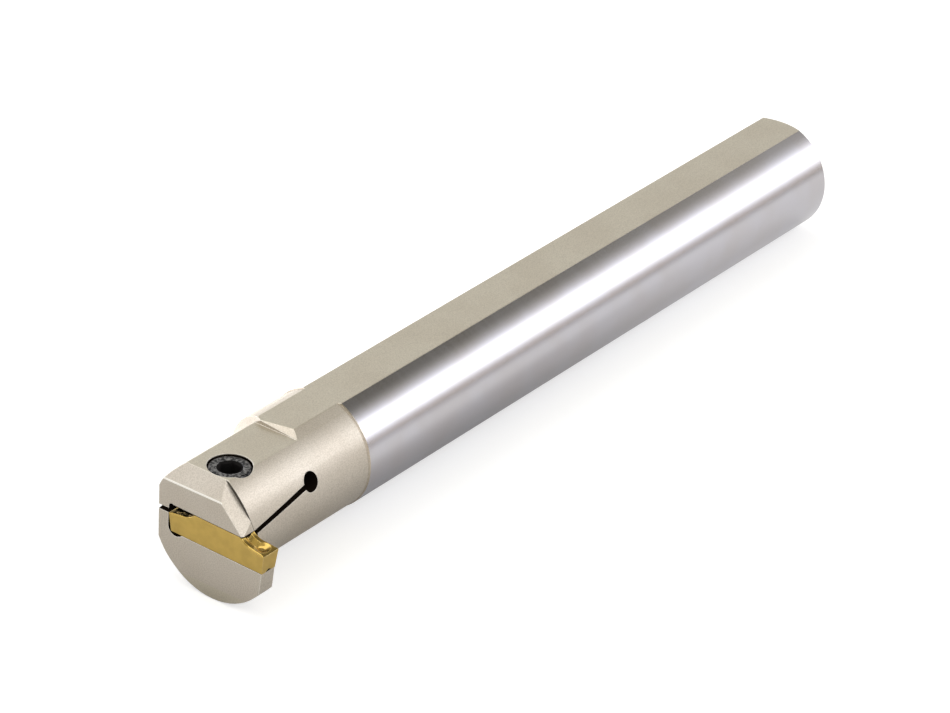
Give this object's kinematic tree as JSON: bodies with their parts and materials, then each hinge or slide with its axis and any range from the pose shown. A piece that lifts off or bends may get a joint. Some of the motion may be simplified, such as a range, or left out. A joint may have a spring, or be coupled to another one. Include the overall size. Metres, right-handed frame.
{
  "type": "internal grooving tool holder",
  "caption": "Round steel bar with flats whose slit head clamps a double-ended grooving insert across its front with a socket head cap screw.",
  "frame": {"origin": "centre of the rear end face, on the shank's axis", "axes": "+X along the shank to the cutting head, +Z normal to the shank's top flat, +Y to the side where the insert's cutting edge reaches out"},
  "size_m": [0.2002, 0.03, 0.0257],
  "materials": {
    "body_steel": "ground shank and satin milled head, warm nickel-like surface",
    "black_screw": "black oxide",
    "coated_carbide": "gold-coloured hard coating, satin"
  },
  "bodies": {
    "holder": {"holder": "body_steel"},
    "clamp_screw": {"clamp_screw": "black_screw"},
    "insert": {"insert": "coated_carbide"}
  },
  "joints": [
    {"name": "screw_turn", "type": "hinge", "parent": "holder", "child": "clamp_screw", "pos_m": [0.19255, 0.00265, 0.01035], "axis": [0, 0, 1], "range_deg": [0, 720]},
    {"name": "insert_slide", "type": "slide", "parent": "holder", "child": "insert", "axis": [0, 0.9997, -0.0262], "range_m": [0, 0.023]}
  ]
}
